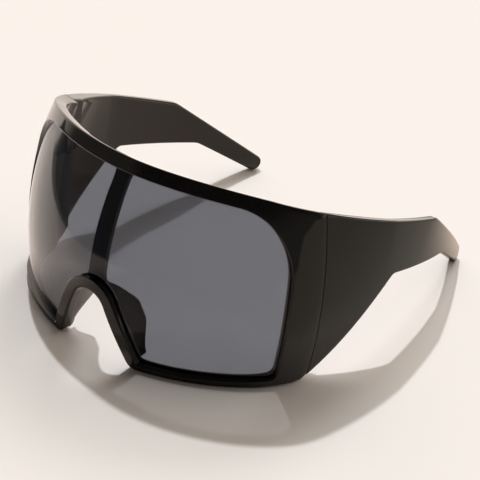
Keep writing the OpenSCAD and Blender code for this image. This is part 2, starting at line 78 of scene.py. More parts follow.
class FrontSizes(bpy.types.PropertyGroup):
    """Sizes of the wrapped front and its lens"""
    front_r: length("Middle radius", "Plan radius of the front's middle", 86)
    front_flat_l: length("Middle length", "Length from the middle to the side curve", 71)
    side_r: length("Side radius", "Plan radius of the front's sides", 43)
    half_l: length("Half length", "Length from the middle to a hinge seam", 96.8)
    bulge_mid_r: length("Middle bulge", "Radius of the upright bulge at the middle", 94)
    bulge_side_r: length("Side bulge", "Radius of the upright bulge at the seams", 163)
    top_h: length("Top height", "Height of the top edge over the middle", 48.17)
    hinge_top_h: length("Top height at seams", "Height of the top edge at the seams", 40.3)
    bottom_h: length("Bottom depth", "Depth of the bottom edge under the bridge", 35)
    hinge_bottom_h: length("Bottom depth at seams", "Depth of the bottom edge at the seams", 28.7)
    low_corner_r: length("Lower corner", "Radius of the lower outer corners", 4)
    rim_top_w: length("Top rim", "Width of the rim over the lens", 5.3)
    rim_bottom_w: length("Bottom rim", "Width of the rim under the lens", 2.8)
    rim_side_w: length("Side panel", "Width of the plain panels beside the lens", 14.5)
    rim_nose_w: length("Nose rim", "Width of the rim around the nose notch", 5)
    rim_t: length("Rim thickness", "Thickness of the rim over most of the front", 5)
    end_t: length("End thickness", "Thickness of the side panels at the seams", 7.5)
    open_top_r: length("Upper opening corner", "Radius of the opening's upper corners", 27)
    open_low_r: length("Lower opening corner", "Radius of the opening's lower corners", 3.8)
    open_nose_r: length("Nose opening corner", "Radius of the opening's corners by the notch", 1.5)
    bevel_w: length("Bevel", "Width of the bevel around the lens opening", 0.4)
    edge_r: length("Edge rounding", "Rounding of the rim's edges", 0.7)
    seam_edge_r: length("Seam rounding", "Rounding of the edges at the hinge seams", 0.25)
    nose_top_h: length("Notch depth", "Depth of the notch's top below the middle", 5.7)
    nose_r: length("Notch radius", "Radius of the notch's top", 8.6)
    nose_lean: bpy.props.FloatProperty(name="Notch lean", description="Lean of its sides from upright",
                                       default=radians(26.5), min=0.0, max=1.0, subtype='ANGLE')
    nose_foot_r: length("Notch foot", "Rounding where the notch meets the bottom edge", 5)
    bridge_depth: length("Bridge", "How far the bridge reaches back from the rim", 4)
    pad_depth: length("Pads", "How far the nose pads reach back from the rim", 11.6)
    pad_splay: length("Pad splay", "How far the pads spread at their back edge", 3.6)
    pad_root_t: length("Pad root", "Thickness of the pads at the rim", 3)
    pad_edge_t: length("Pad edge", "Thickness of the pads at their back edge", 1.8)
    bar_w: length("Bar width", "Width of the upright bar behind the lens", 8)
    bar_t: length("Bar thickness", "Thickness of the upright bar", 2.4)
    bar_flare: length("Bar flare", "How much the bar widens at its ends", 2.4)
    lens_t: length("Lens", "Thickness of the lens", 1.4)
    lens_inset: length("Lens inset", "Depth of the lens below the rim's face at the middle", 2.4)
    lens_side_inset: length("Side inset", "Depth of the lens below the rim's face at the sides", 1.7)
    lens_bite: length("Lens bite", "How far the lens reaches into its groove", 1.2)


class TempleSizes(bpy.types.PropertyGroup):
    """Sizes of the temples and of the room for the hinges"""
    temple_l: length("Length", "Length from the seam to the tip's upper corner", 124)
    temple_r: length("Curve", "Plan radius of the temples", 211)
    ear_bend_l: length("Ear bend", "Length from the seam to the bend over the ear", 73.9)
    ear_bend_h: length("Ear bend height", "Height of the top edge at the bend", 20.7)
    tip_top_h: length("Tip height", "Height of the tip's upper corner", -11.4, low=-1.0)
    tip_cut_l: length("Tip cut length", "Length between the tip's corners", 4.3)
    tip_cut_h: length("Tip cut height", "Height between the tip's corners", 5.3)
    wedge_l: length("Wedge length", "Length of the steep part of the lower edge", 42.4)
    wedge_h: length("Wedge height", "Height of the lower edge where the steep part ends", 6)
    low_bend_l: length("Lower bend", "Length from the seam to the lower bend", 87.8)
    low_bend_h: length("Lower bend height", "Height of the lower edge at its bend", 0.1)
    root_low_h: length("Root depth", "Depth of the lower corner at the seam", 27.4)
    root_t: length("Root thickness", "Thickness where the hinge is fixed", 7.5)
    root_face_t: length("End face", "Thickness of the end face at the seam", 6.4)
    root_l: length("Root length", "Length of the thick root", 7.8)
    neck_t: length("Neck", "Thickness just behind the root", 5.4)
    blade_t: length("Blade", "Thickness of the blade", 3.3)
    blade_start_l: length("Blade start", "Length from the seam to where the blade is thin", 34)
    tip_r: length("Tip rounding", "Rounding of the tip's corners", 2.8)
    edge_r: length("Edge rounding", "Rounding of the temple's edges", 0.7)
    seam_gap: length("Seam gap", "Gap between the front and a temple", 0.25)
    hinge_h: length("Hinge height", "Height of the hinges' middle", 20)
    hinge_l: length("Hinge length", "Length of a hinge along its screw", 8.4)
    knuckle_r: length("Knuckle", "Outer radius of the hinge knuckles", 1.5)
    axis_depth: length("Screw depth", "Depth of the screw's axis below the outer face", 9.76577)
    swing_gap: length("Swing gap", "Clearance of the mouldings from the knuckles", 0.3)
    leaf_l: length("Leaf", "Length of a hinge leaf from the screw's axis", 7)
    screw_head_h: length("Screw head", "Height of the screw's head", 0.7)


class Finishes(bpy.types.PropertyGroup):
    """Colours of the parts and of the stage, and strengths of the light"""
    plastic: colour("Moulding", "Colour of the moulded front and temples", (0.0072, 0.007, 0.0068))
    lens: colour("Lens", "Colour of the lens's tint", (0.001, 0.003, 0.008))
    lens_cover: number("Lens tint", "Share of the light that each face of the lens stops", 0.555, 1.0)
    steel: colour("Steel", "Colour of the hinge metal", (0.05, 0.05, 0.05))
    floor: colour("Floor", "Colour of the floor and backdrop", (0.955, 0.94, 0.935))
    key_power: number("Key lamp", "Strength of the key lamp", 1.42, 50.0)
    panel_power: number("Panel", "Strength of the soft panel at the back left", 0.75, 50.0)
    sky: number("Sky", "Strength of the bright side of the studio", 1.22, 10.0)
    # Room also sets the tone of the dim painted reflection glow that gloss sees on the floor
    room: number("Room", "Strength of the dim side of the studio, where the camera stands", 0.08, 10.0)


def smooth(share):
    """A ramp from 0 to 1 with soft ends."""
    share = max(0.0, min(1.0, share))
    return share * share * (3 - 2 * share)


def mix(start, end, share):
    return start + (end - start) * share


def sign(value):
    return -1.0 if value < 0 else 1.0


def mirrored(point):
    return Vector((-point.x, point.y))


def quarter(steps):
    """Cosine and sine at even steps from zero to a right angle."""
    angles = [k * pi / (2 * steps) for k in range(steps + 1)]
    return [(cos(angle), sin(angle)) for angle in angles]


EDGE_ARC = quarter(4)


class Wrap:
    """The wrapped outer face: a length along it, a height and a depth below it give a point."""
    # The rim swells over so many panel widths, and the bulge fades over this share of the half length
    SWELL_PANELS, FADE_SHARE = 2, 0.4

    def __init__(self, front, temple):
        self.front, self.temple = front, temple
        fold = next(joint for joint in frame["joints"] if joint["name"] == "left_fold")
        axis = Vector(fold["axis"]).normalized()
        self.turn = Matrix.Rotation(-atan2(axis.y, axis.z), 3, 'X')
        seam = front.half_l + temple.seam_gap / 2
        heading = self.heading(seam)
        spot = self.plan(seam) + temple.axis_depth * Vector((-sin(heading), cos(heading)))
        self.screw = Vector((spot.x, spot.y, temple.hinge_h))
        self.screw_turn = heading - pi / 2
        self.shift = Vector(fold["pos_m"]) - self.turn @ self.screw

    def arcs(self, along):
        """The plan curve's three arcs, up to a length from the middle: how far along each, and its radius."""
        front = self.front
        return ((min(along, front.front_flat_l), front.front_r),
                (max(0, min(along, front.half_l) - front.front_flat_l), front.side_r),
                (max(0, along - front.half_l), self.temple.temple_r))

    def heading(self, along):
        """Angle that the plan curve has turned through at a length from the middle."""
        return sum(run / r for run, r in self.arcs(along))

    def plan(self, along):
        """Point of the plan curve at a length from the middle."""
        point, heading = Vector((0, 0)), 0.0
        for run, r in self.arcs(along):
            end = heading + run / r
            point += r * Vector((sin(end) - sin(heading), cos(heading) - cos(end)))
            heading = end
        return point

    def bulge(self, along):
        """Curvature of the upright bulge. It fades away along the temples."""
        front = self.front
        if along > front.half_l:
            past = (along - front.half_l) / (self.FADE_SHARE * front.half_l)
            return max(0, 1 - past) / front.bulge_side_r
        return mix(1 / front.bulge_mid_r, 1 / front.bulge_side_r, (along / front.half_l) ** 2)

    def worn(self, along, height, depth):
        """A point as the glasses are worn."""
        heading, spot = self.heading(abs(along)), self.plan(abs(along))
        lean = self.bulge(abs(along)) * height
        level = depth / sqrt(1 + lean * lean)
        back = lean * height / 2 + level
        return Vector((sign(along) * (spot.x - back * sin(heading)),
                       spot.y + back * cos(heading), height - level * lean))

    def settle(self, point):
        """From the worn position to the table."""
        return self.turn @ point + self.shift

    def at(self, along, height, depth):
        return self.settle(self.worn(along, height, depth))

    def top_z(self, along):
        front = self.front
        return front.top_h - (front.top_h - front.hinge_top_h) * (along / front.half_l) ** 3

    def top_slope(self, along):
        front = self.front
        return -3 * (front.top_h - front.hinge_top_h) * (along / front.half_l) ** 2 / front.half_l

    def bottom_z(self, along):
        front = self.front
        return -front.bottom_h + (front.bottom_h - front.hinge_bottom_h) * (along / front.half_l) ** 2

    def bottom_slope(self, along):
        front = self.front
        return 2 * (front.bottom_h - front.hinge_bottom_h) * along / front.half_l ** 2

    def front_t(self, along):
        """Thickness of the rim. It swells towards the seams."""
        front = self.front
        span = self.SWELL_PANELS * front.rim_side_w
        swell = max(0, abs(along) - front.half_l + span) / span
        return front.rim_t + (front.end_t - front.rim_t) * swell ** 2

    def inset(self, along):
        """Depth of the lens's outer face."""
        front = self.front
        share = (along / (front.half_l - front.rim_side_w)) ** 2
        return mix(front.lens_inset, front.lens_side_inset, share)


def rounded(corner, way_in, way_out, r, steps):
    """Points of the arc that rounds a corner of an outline between two directions."""
    first, last = way_in.normalized(), way_out.normalized()
    side = 1 if first.x * last.y - first.y * last.x > 0 else -1
    angle = first.angle(last)
    middle = corner - r * tan(angle / 2) * first + side * r * Vector((-first.y, first.x))
    points = []
    for i in range(steps + 1):
        turn = side * angle * i / steps
        cosine, sine = cos(turn), sin(turn)
        way = Vector((first.x * cosine - first.y * sine, first.x * sine + first.y * cosine))
        points.append(middle - side * r * Vector((-way.y, way.x)))
    return points


def between(start, end, steps):
    return [start + (end - start) * i / steps for i in range(1, steps)]


class Outlines:
    """The lens opening and the front's outer edge, with as many points each: right half, then mirror."""
    # Steps in each stretch from the notch's arch round to the middle of the top. On the outer edge,
    # so many of the upper corner's steps lie along the seam
    ARCH, LEG, FOOT, BOTTOM, CORNER, SIDE, UPPER = 22, 12, 8, 62, 10, 22, 46
    TOP = ARCH + LEG + FOOT + BOTTOM + CORNER - UPPER
    SEAM = 16
    FOOT_ROUNDS = 4

    def __init__(self, wrap):
        self.wrap = wrap
        self.low, high, end = self.opening_parts()
        self.open_half = self.low + between(self.low[-1], high[0], self.SIDE) + high
        out_low, out_high = self.outer_parts(high[0].y, end)
        outer_half = out_low + between(out_low[-1], out_high[0], self.SIDE) + out_high
        self.opening = self.both(self.open_half)
        self.outer = self.both(outer_half)

    @staticmethod
    def both(half):
        return half + [mirrored(point) for point in half[-2:0:-1]]

    def top_runs(self, end):
        """Lengths along the top edge, from the end of a corner to the middle."""
        return [end * i / self.TOP for i in range(self.TOP - 1, -1, -1)]

    def opening_parts(self):
        """Lower and upper part of the opening's right half, and the length at which its top edge starts."""
        front, wrap = self.wrap.front, self.wrap
        side = front.half_l - front.rim_side_w
        turn = pi / 2 + atan(wrap.top_slope(side - front.open_top_r))
        end = side - front.open_top_r * tan(turn / 2) * sin(turn)
        slope = wrap.top_slope(end)
        corner = Vector((side, wrap.top_z(end) - front.rim_top_w + slope * (side - end)))
        upper = rounded(corner, Vector((0, 1)), Vector((-1, -slope)), front.open_top_r, self.UPPER)
        low = self.lower(front.rim_nose_w, front.rim_bottom_w, side, front.open_nose_r, front.open_low_r)
        top = [Vector((along, wrap.top_z(along) - front.rim_top_w)) for along in self.top_runs(end)]
        return low, upper + top, end

    def outer_parts(self, turn_z, end):
        """Lower and upper part of the outer edge's right half, paired with the opening's points."""
        front, wrap = self.wrap.front, self.wrap
        low = self.lower(0, 0, front.half_l, front.nose_foot_r, front.low_corner_r)
        corner = Vector((front.half_l, wrap.top_z(front.half_l)))
        start, end = turn_z + front.rim_top_w, end + front.rim_top_w
        rise = [Vector((front.half_l, mix(start, corner.y, i / self.SEAM))) for i in range(self.SEAM + 1)]
        across = self.UPPER - self.SEAM
        runs = [mix(front.half_l, end, i / across) for i in range(1, across + 1)] + self.top_runs(end)
        return low, rise + [Vector((along, wrap.top_z(along))) for along in runs]

    def lower(self, nose_w, bottom_w, side, foot_r, corner_r):
        """Notch and bottom edge of one half, set in by two widths, up to the end of the lower corner."""
        front, wrap = self.wrap.front, self.wrap
        mid_z, r = -front.nose_top_h - front.nose_r, front.nose_r + nose_w
        # The leg's foot is found in rounds, because the bottom edge that it meets is curved
        foot = 0.0
        for _ in range(self.FOOT_ROUNDS):
            fall = mid_z + r * sin(front.nose_lean) - wrap.bottom_z(foot) - bottom_w
            foot = r * cos(front.nose_lean) + fall * tan(front.nose_lean)
        leg = Vector((sin(front.nose_lean), -cos(front.nose_lean)))
        angles = [mix(pi / 2, front.nose_lean, i / self.ARCH) for i in range(self.ARCH + 1)]
        arch = [Vector((r * cos(angle), mid_z + r * sin(angle))) for angle in angles]
        turn = rounded(Vector((foot, wrap.bottom_z(foot) + bottom_w)), leg,
                       Vector((1, wrap.bottom_slope(foot))), foot_r, self.FOOT)
        corner = rounded(Vector((side, wrap.bottom_z(side) + bottom_w)),
                         Vector((1, wrap.bottom_slope(side))), Vector((0, 1)), corner_r, self.CORNER)
        runs = [mix(turn[-1].x, corner[0].x, i / self.BOTTOM) for i in range(1, self.BOTTOM)]
        bottom = [Vector((along, wrap.bottom_z(along) + bottom_w)) for along in runs]
        return arch + between(arch[-1], turn[0], self.LEG) + turn + bottom + corner


def bent_sheet(name, columns, rows, place, closed=False, end_round=0.0):
    """A grid whose vertices go to place(column, row). Rows close into a section, and columns may close
    into a ring. Open ends are capped, and their edges may be rounded."""
    bm = bmesh.new()
    bmesh.ops.create_grid(bm, x_segments=columns, y_segments=rows, size=1.0)
    for vert in bm.verts:
        vert.co = place(round((vert.co.x + 1) / 2 * columns), round((vert.co.y + 1) / 2 * rows))
    bmesh.ops.remove_doubles(bm, verts=bm.verts, dist=WELD)
    if not closed:
        rims = [edge for edge in bm.edges if edge.is_boundary]
        caps = bmesh.ops.holes_fill(bm, edges=rims, sides=0)["faces"]
        if end_round:
            bmesh.ops.bevel(bm, geom=[edge for face in caps for edge in face.edges], offset=end_round,
                            segments=3, profile=0.5, affect='EDGES', material=-1, clamp_overlap=True)
    bmesh.ops.recalc_face_normals(bm, faces=bm.faces)
    if bm.calc_volume(signed=True) < 0:
        bmesh.ops.reverse_faces(bm, faces=bm.faces)
    return finished(name, bm)


def finished(name, bm):
    """The object of a bmesh, shaded smooth with its hard edges kept."""
    mesh = bpy.data.meshes.new(name)
    bm.to_mesh(mesh)
    bm.free()
    mesh.shade_smooth()
    mesh.set_sharp_from_angle(angle=SHARP_ANGLE)
    piece = bpy.data.objects.new(name, mesh)
    bpy.context.scene.collection.objects.link(piece)
    return piece


def joined(name, pieces):
    """Several meshes in one object."""
    bm = bmesh.new()
    for piece in pieces:
        bm.from_mesh(piece.data)
        bpy.data.objects.remove(piece)
    return finished(name, bm)


def flip(bm):
    """Mirrors a solid to the other side of the face."""
    bmesh.ops.scale(bm, verts=bm.verts, vec=(-1, 1, 1))
    bmesh.ops.reverse_faces(bm, faces=bm.faces)


def carve(piece, cutter):
    """Takes the cutter's solid out of the piece."""
    cut = piece.modifiers.new("Hinge room", 'BOOLEAN')
    cut.operation, cut.solver, cut.object = 'DIFFERENCE', 'EXACT', cutter
    bpy.context.view_layer.update()
    shown = piece.evaluated_get(bpy.context.evaluated_depsgraph_get())
    mesh = bpy.data.meshes.new_from_object(shown)
    if len(mesh.polygons) < len(piece.data.polygons) // 2:
        raise RuntimeError(piece.name + ": the hinge room could not be cut")
    piece.modifiers.clear()
    piece.data = mesh
    mesh.set_sharp_from_angle(angle=SHARP_ANGLE)
    bpy.data.objects.remove(cutter)


def hinge_room(wrap, side, flipped):
    """The solids that clear the knuckles and one leaf: side is 1 on the temple and -1 on the front."""
    temple = wrap.temple
    reach, r = temple.hinge_l / 2 + temple.swing_gap, temple.knuckle_r + temple.swing_gap
    barrel = bmesh.new()
    bmesh.ops.create_cone(barrel, cap_ends=True, segments=48, radius1=r, radius2=r,
                          depth=2 * reach + temple.screw_head_h,
                          matrix=Matrix.Translation((0, 0, temple.screw_head_h / 2)))
    seat = bmesh.new()
    low = Vector((temple.knuckle_r - temple.leaf_l, 0 if side > 0 else -temple.leaf_l - temple.swing_gap,
                  -reach))
    size = Vector((temple.leaf_l, temple.leaf_l + temple.swing_gap, 2 * reach))
    bmesh.ops.create_cube(seat, size=1.0,
                          matrix=Matrix.Translation(low + size / 2) @ Matrix.Diagonal((*size, 1)))
    turn = Matrix.Rotation(wrap.screw_turn, 3, 'Z')
    cutters = []
    for shape in (barrel, seat):
        bmesh.ops.rotate(shape, verts=shape.verts, cent=(0, 0, 0), matrix=turn)
        for vert in shape.verts:
            vert.co = wrap.settle(vert.co + wrap.screw)
        if flipped:
            flip(shape)
        cutters.append(finished("Hinge room cutter", shape))
    return cutters


def arithmetic(operation, swapped=False):
    """One of Term's operators, as a Math node. It is swapped where the term stands on the right."""
    def method(self, other):
        first, second = (other, self) if swapped else (self, other)
        return self.paint.add('ShaderNodeMath', {0: first, 1: second}, operation=operation)
    return method


class Term:
    """A value in a material. Arithmetic on it adds Math nodes."""

    def __init__(self, paint, socket):
        self.paint, self.socket = paint, socket

    __add__, __radd__ = arithmetic('ADD'), arithmetic('ADD', True)
    __sub__, __rsub__ = arithmetic('SUBTRACT'), arithmetic('SUBTRACT', True)
    __mul__, __rmul__ = arithmetic('MULTIPLY'), arithmetic('MULTIPLY', True)
    __pow__ = arithmetic('POWER')


class Paint:
    """A material, or the world, that is written as expressions."""

    def __init__(self, owner):
        owner.use_nodes = True
        self.owner, self.tree = owner, owner.node_tree
        self.tree.nodes.clear()

    def add(self, kind, inputs=None, out=0, **settings):
        """Adds a node, makes its settings, fills its sockets and gives one of its outputs."""
        node = self.tree.nodes.new(kind)
        for key, value in settings.items():
            if key == "stops":
                ramp = node.color_ramp
                while len(ramp.elements) < len(value):
                    ramp.elements.new(0.5)
                for stop, (place, shade) in zip(ramp.elements, value):
                    stop.position, stop.color = place, (*shade, 1.0)
            else:
                setattr(node, key, value)
        for key, value in (inputs or {}).items():
            if isinstance(value, Term):
                self.tree.links.new(value.socket, node.inputs[key])
            else:
                node.inputs[key].default_value = value
        return Term(self, node.outputs[out]) if node.outputs else node

    def place(self):
        return self.add('ShaderNodeTexCoord', out="Object")

    def part(self, vector, axis):
        """One coordinate of a vector."""
        return self.add('ShaderNodeSeparateXYZ', {"Vector": vector}, out=axis)

    def ray(self, kind):
        """What is known of the ray that sees the surface, such as whether a glossy face sent it."""
        return self.add('ShaderNodeLightPath', out=kind)

    def noise(self, scale, detail, rough, stretch=(1, 1, 1)):
        where = self.add('ShaderNodeMapping', {"Vector": self.place(), "Scale": stretch})
        return self.add('ShaderNodeTexNoise', {"Vector": where, "Scale": scale, "Detail": detail,
                                               "Roughness": rough})

    def spread(self, value, low, high, to_low=0.0, to_high=1.0):
        return self.add('ShaderNodeMapRange', {"Value": value, "From Min": low, "From Max": high,
                                               "To Min": to_low, "To Max": to_high}, clamp=True)

    def ramp(self, factor, stops):
        return self.add('ShaderNodeValToRGB', {"Fac": factor}, stops=stops)

    def blend(self, factor, first, second):
        return self.add('ShaderNodeMix', {"Factor": factor, 6: first, 7: second}, out=2,
                        data_type='RGBA')

    def bump(self, height, strength, depth):
        return self.add('ShaderNodeBump', {"Height": height, "Strength": strength, "Distance": depth})

    def shade(self, **inputs):
        """Ends a material in one surface shader, whose sockets are named in small letters."""
        named = {}
        for key, value in inputs.items():
            named[key.replace("_", " ").title().replace("Ior", "IOR")] = value
        surface = self.add('ShaderNodeBsdfPrincipled', named)
        self.add('ShaderNodeOutputMaterial', {"Surface": surface})
        return self.owner


def toned(shade, gains=(1, 1, 1)):
    """A colour with its red, green and blue raised or lowered, and full alpha."""
    return (*(part * gain for part, gain in zip(shade, gains)), 1)


def moulded_gloss(look):
    """Polished injection moulding: near black, a faint orange peel, and fine handling haze."""
    p = Paint(bpy.data.materials.new("Gloss moulding"))
    peel_depth = 0.02 * MM
    cloud = p.noise(38.0, 4.0, 0.55)
    warm = toned(look.plastic, (1.6, 1.5, 1.4))
    base = p.blend(p.spread(cloud, 0.35, 0.75), toned(look.plastic), warm)
    haze = p.spread(p.noise(120.0, 5.0, 0.6, (1, 1, 0.35)), 0.45, 0.8, 0.0, 0.04)
    rough = p.spread(cloud, 0.3, 0.7, 0.05, 0.08) + haze
    peel = p.noise(260.0, 1.0, 0.4) * 0.7 + p.noise(900.0, 2.0, 0.5) * 0.3
    return p.shade(base_color=base, roughness=rough, ior=1.45, coat_weight=1.0, coat_roughness=0.04,
                   normal=p.bump(peel, 0.1, peel_depth))


def tinted_lens(look):
    """Dark tinted lens: clear to look through, denser at a low angle, with the faintest dust."""
    p = Paint(bpy.data.materials.new("Tinted lens"))
    uneven = 0.004
    cloud = p.noise(25.0, 3.0, 0.5)
    cool = toned(look.lens, (0.9, 1.0, 1.3))
    base = p.blend(p.spread(cloud, 0.3, 0.7), toned(look.lens), cool)
    dust = p.spread(p.noise(1500.0, 2.0, 0.5), 0.72, 0.8, 0.0, 0.01)
    cover = p.spread(cloud, 0.3, 0.7, look.lens_cover - uneven, look.lens_cover + uneven) + dust
    rough = p.spread(p.noise(60.0, 4.0, 0.6), 0.4, 0.8, 0.015, 0.04)
    grazing = p.add('ShaderNodeLayerWeight', {"Blend": 0.5}, out="Facing") ** 5
    return p.shade(base_color=base, roughness=rough, ior=1.5, coat_weight=1.0,
                   alpha=cover + (1.0 - cover) * grazing)


def hinge_steel(look):
    """Turned and rolled hinge metal: fine marks along the leaf and a little tarnish."""
    p = Paint(bpy.data.materials.new("Hinge steel"))
    mark_depth = 0.02 * MM
    marks = p.noise(700.0, 3.0, 0.6, (1, 1, 0.08))
    stain = p.noise(160.0, 4.0, 0.6)
    dull = toned(look.steel, (0.72, 0.68, 0.62))
    base = p.blend(p.spread(stain, 0.45, 0.75, 0.0, 0.7), toned(look.steel), dull)
    rough = p.spread(marks, 0.3, 0.7, 0.2, 0.36) + p.spread(stain, 0.5, 0.8, 0.0, 0.12)
    return p.shade(base_color=base, roughness=rough, metallic=1.0, normal=p.bump(marks, 0.25, mark_depth))


def settings():
    scene = bpy.context.scene
    return Wrap(scene.shield_front, scene.shield_temples), scene.shield_finishes


def dress(piece, name, maker, look):
    """Gives a piece the material of a name, which its maker paints the first time."""
    piece.data.materials.clear()
    piece.data.materials.append(bpy.data.materials.get(name) or maker(look))


class BuildFront(bpy.types.Operator):
    """Builds the moulded front: the rim around the lens, the upright bar, the bridge and the nose pads"""
    bl_idname = "shield.build_front"
    bl_label = "Front moulding"

    BEVEL_ARC = quarter(5)[:-1]
    FACE_STEPS, EDGE_STEPS, BACK_STEPS = 6, 3, 5
    SEAM_FADE, CORNER_FADE = 2 * MM, 1 * MM

    def execute(self, context):
        wrap, look = settings()
        lines = Outlines(wrap)
        count = len(lines.opening)
        sections = [self.section(wrap, lines, i) for i in range(count)]
        rows = len(sections[0])

        def place(column, row):
            i = column % count
            inner, outer = lines.opening[i], lines.outer[i]
            out, depth = sections[i][row % rows]
            at = inner + (outer - inner).normalized() * out
            return wrap.at(at.x, at.y, depth)
        rim = bent_sheet("Rim", count, rows, place, closed=True)
        for flipped in (False, True):
            for cutter in hinge_room(wrap, -1, flipped):
                carve(rim, cutter)
        front = joined("front_moulding", [rim, self.bar(wrap), self.pads(wrap)])
        dress(front, "Gloss moulding", moulded_gloss, look)
        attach(front, "front")
        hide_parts("front_frame")
        return {'FINISHED'}

    @classmethod
    def section(cls, wrap, lines, i):
        """Section of the rim from the groove's mouth over the face, the outer edge and the back."""
        front = wrap.front
        inner, outer = lines.opening[i], lines.outer[i]
        width, way = (outer - inner).length, (outer - inner).normalized()
        beside = smooth((abs(outer.x) - front.half_l + cls.SEAM_FADE) / cls.SEAM_FADE)
        above = smooth((outer.y + front.hinge_bottom_h - cls.CORNER_FADE) / cls.CORNER_FADE)
        r = mix(front.edge_r, front.seam_edge_r, beside * above)
        lens_face = wrap.inset(inner.x) - GROOVE_GAP
        lens_back = lens_face + front.lens_t + 2 * GROOVE_GAP
        bevel = front.bevel_w
        points = [(0.0, lens_face), (0.0, mix(lens_face, bevel, 0.5))]
        points += [(bevel * (1 - cosine), bevel * (1 - sine)) for cosine, sine in cls.BEVEL_ARC]
        points += [(mix(bevel, width - r, k / cls.FACE_STEPS), 0.0) for k in range(cls.FACE_STEPS + 1)]
        points += [(width - r + r * sine, r - r * cosine) for cosine, sine in EDGE_ARC[1:]]
        thick = wrap.front_t((inner + way * width).x)
        points += [(width, mix(r, thick - r, k / cls.EDGE_STEPS)) for k in range(1, cls.EDGE_STEPS)]
        points += [(width - r + r * cosine, thick - r + r * sine) for cosine, sine in EDGE_ARC]
        back = [mix(width - r, front.edge_r, k / cls.BACK_STEPS) for k in range(1, cls.BACK_STEPS + 1)]
        points += [(out, wrap.front_t((inner + way * out).x)) for out in back]
        thick, r = wrap.front_t(inner.x), front.edge_r
        points += [(r * (1 - sine), thick - r * (1 - cosine)) for cosine, sine in EDGE_ARC[2::2]]
        return points + [(0.0, lens_back), (front.lens_bite, lens_back), (front.lens_bite, lens_face)]

    @staticmethod
    def bar(wrap):
        """The upright bar behind the lens, flared where it meets the rim."""
        front = wrap.front
        # Shares of the nose rim and the top rim that it reaches into, and of its own width and length
        low_share, high_share, core_share, flare_share = 0.3, 0.5, 0.4, 0.12
        face = wrap.inset(0) + front.lens_t + 2 * GROOVE_GAP
        back = face + front.bar_t
        low = -front.nose_top_h + low_share * front.rim_nose_w
        high = front.top_h - high_share * front.rim_top_w
        r, steps = front.edge_r, 72

        def outline(half):
            core = half * core_share
            arc = [(half - r + r * cosine, back - r + r * sine) for cosine, sine in EDGE_ARC]
            right = [(half, face), (half, mix(face, back - r, 0.5))] + arc + [(core, back)]
            return right + [(-x, depth) for x, depth in reversed(right)] + [(-core, face), (core, face)]
        rows = len(outline(front.bar_w))

        def place(column, row):
            share = (1 - cos(pi * column / steps)) / 2
            flare = max(0, 1 - min(share, 1 - share) / flare_share) ** 2
            x, depth = outline(front.bar_w / 2 + front.bar_flare * flare)[row % rows]
            return wrap.at(x, mix(low, high, share), depth)
        return bent_sheet("Bar", steps, rows, place)

    @staticmethod
    def pads(wrap):
        """The bridge and both nose pad wings, one band along the edge of the notch."""
        front = wrap.front
        # The band stops short of the bottom edge by a share of the bottom rim, sinks into the rim by a
        # share of its thickness, and stands back from the notch's edge by a share of its own root
        foot_share, root_share, sink_share = 0.4, 0.3, 0.08
        # Shares of the band's half where it is full and where it tapers, and of the depth that it loses
        full_share, taper_share, lost_share = 0.45, 0.64, 0.68
        mid_z = -front.nose_top_h - front.nose_r
        arc_l = front.nose_r * (pi / 2 - front.nose_lean)
        fall = (front.bottom_h - foot_share * front.rim_bottom_w + mid_z
                + front.nose_r * sin(front.nose_lean))
        band_l = arc_l + fall / cos(front.nose_lean)
        leg = Vector((sin(front.nose_lean), -cos(front.nose_lean)))
        root = root_share * front.rim_t
        steps, rows = 180, 14
        count = 2 * (rows + 1)

        def outline(share):
            """Distances out from the notch's edge, and depths, at a share of the band's half."""
            full = smooth(share / full_share)
            grow = front.bridge_depth + (front.pad_depth - front.bridge_depth) * full
            deep = root + grow * (1 - lost_share * smooth((share - taper_share) / (1 - taper_share)))
            splay = front.pad_splay * full
            near = [(splay * (k / rows) ** 2, deep * k / rows) for k in range(rows + 1)]
            far = []
            for k in range(rows, -1, -1):
                down = k / rows
                depth = deep * down
                thick = mix(front.pad_root_t, front.pad_edge_t, down)
                left = deep - depth
                # The band's back edge narrows in an arc to half its thickness
                if left < thick / 2:
                    thick *= 0.5 + 0.5 * sqrt(max(0, 1 - (1 - left / (thick / 2)) ** 2))
                far.append((splay * down ** 2 + thick, depth))
            return near + far

        def place(column, row):
            along = (column - steps / 2) / (steps / 2)
            reach = band_l * abs(along)
            angle = max(front.nose_lean, pi / 2 - reach / front.nose_r)
            way = Vector((cos(angle), sin(angle)))
            edge = Vector((0, mid_z)) + front.nose_r * way + max(0, reach - arc_l) * leg
            out, depth = outline(abs(along))[row % count]
            point = edge + (sink_share * front.pad_root_t + out) * way
            return wrap.at(sign(along) * point.x, point.y, front.rim_t - root + depth)
        return bent_sheet("Pads", steps, count, place)


class BuildLens(bpy.types.Operator):
    """Builds the one-piece lens, let into the groove of the rim"""
    bl_idname = "shield.build_lens"
    bl_label = "Tinted lens"

    ROWS = 44

    def execute(self, context):
        wrap, look = settings()
        lines = Outlines(wrap)
        reach = wrap.front.lens_bite - GROOVE_GAP
        last = len(lines.open_half) - 1

        def edge(i):
            inner, outer = lines.opening[i], lines.outer[i]
            return inner + reach * (outer - inner).normalized()
        half = [(edge(i), edge(last - i)) for i in range(len(lines.low))]
        columns = half[:0:-1] + [tuple(mirrored(point) for point in pair) for pair in half]
        count = 2 * (self.ROWS + 1)

        def place(column, row):
            low, high = columns[column]
            row %= count
            at_back = row > self.ROWS
            share = (count - 1 - row if at_back else row) / self.ROWS
            point = low + (high - low) * share
            depth = wrap.front.lens_t if at_back else 0.0
            return wrap.at(point.x, point.y, wrap.inset(point.x) + depth)
        lens = bent_sheet("tinted_lens", len(columns) - 1, count, place)
        dress(lens, "Tinted lens", tinted_lens, look)
        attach(lens, "front")
        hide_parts("shield_lens")
        return {'FINISHED'}


